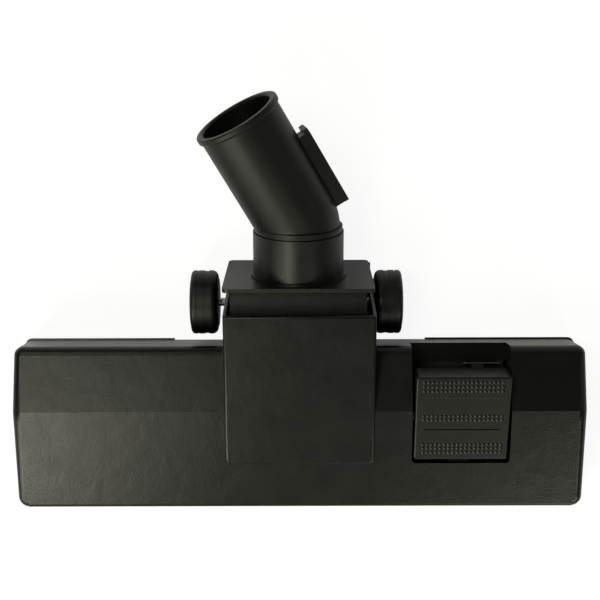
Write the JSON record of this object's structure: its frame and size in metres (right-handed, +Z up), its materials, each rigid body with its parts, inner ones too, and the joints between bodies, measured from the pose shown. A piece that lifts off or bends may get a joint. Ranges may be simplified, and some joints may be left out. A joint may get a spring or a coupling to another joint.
{
  "type": "vacuum floor brush head",
  "caption": "Wide black vacuum floor head with a rocker pedal for the brush, a tilting neck on two rear wheels and a swivelling bent wand socket.",
  "frame": {"origin": "middle of the sole's lower face, on the floor", "axes": "+X to the right seen from above with the neck at the back, +Y back towards the neck, +Z up"},
  "size_m": [0.27, 0.1962, 0.0753],
  "materials": {
    "housing": "satin moulded plastic, fine grain",
    "sole": "smooth moulded plastic",
    "inner": "plain moulded plastic",
    "pedal": "satin moulded plastic with raised dots",
    "neck": "satin moulded plastic",
    "elbow": "satin moulded plastic",
    "hub": "moulded plastic",
    "tyre": "soft moulded rubber",
    "steel": "bright drawn wire",
    "felt": "felt",
    "velour": "velour pile",
    "bristle": "fine bristles"
  },
  "bodies": {
    "head": {"top_cover": "housing", "sole_plate": "sole", "suction_duct": "inner", "front_thread_lifter": "velour", "rear_thread_lifter": "velour", "sole_screws": "steel", "throat_seal": "felt", "pedal_pin": "steel", "detent_wire": "steel", "return_springs": "steel"},
    "brush": {"brush_carrier": "inner", "front_bristles": "bristle", "rear_bristles": "bristle"},
    "pedal": {"pedal": "pedal"},
    "neck": {"neck_block": "neck", "swivel_clip": "inner", "left_axle_pin": "steel", "right_axle_pin": "steel"},
    "elbow": {"swivel_elbow": "elbow"},
    "left_wheel": {"left_wheel_hub": "hub", "left_tyre": "tyre"},
    "right_wheel": {"right_wheel_hub": "hub", "right_tyre": "tyre"}
  },
  "joints": [
    {"name": "neck_tilt", "type": "hinge", "parent": "head", "child": "neck", "pos_m": [0, 0.0595, 0.0154], "axis": [1, 0, 0], "range_deg": [0, 14]},
    {"name": "elbow_swivel", "type": "hinge", "parent": "neck", "child": "elbow", "pos_m": [-0.0005, 0.05765, 0.02111], "axis": [0, 0.9511, 0.309], "continuous": true},
    {"name": "left_wheel_spin", "type": "hinge", "parent": "neck", "child": "left_wheel", "pos_m": [-0.0458, 0.0595, 0.0154], "axis": [1, 0, 0], "continuous": true},
    {"name": "right_wheel_spin", "type": "hinge", "parent": "neck", "child": "right_wheel", "pos_m": [0.0427, 0.0595, 0.0154], "axis": [1, 0, 0], "continuous": true},
    {"name": "pedal_rock", "type": "hinge", "parent": "head", "child": "pedal", "pos_m": [0.0761, 0.0042, 0.031], "axis": [-1, 0, 0], "range_deg": [0, 20]},
    {"name": "brush_drop", "type": "slide", "parent": "head", "child": "brush", "axis": [0, 0, -1], "range_m": [0, 0.0055], "stiffness_N_per_m": 250, "springref_m": -0.006, "deforming": ["return_springs"]}
  ],
  "couplings": [
    {"joint": "pedal_rock", "follows": "brush_drop", "rad_per_m": 63.46}
  ]
}
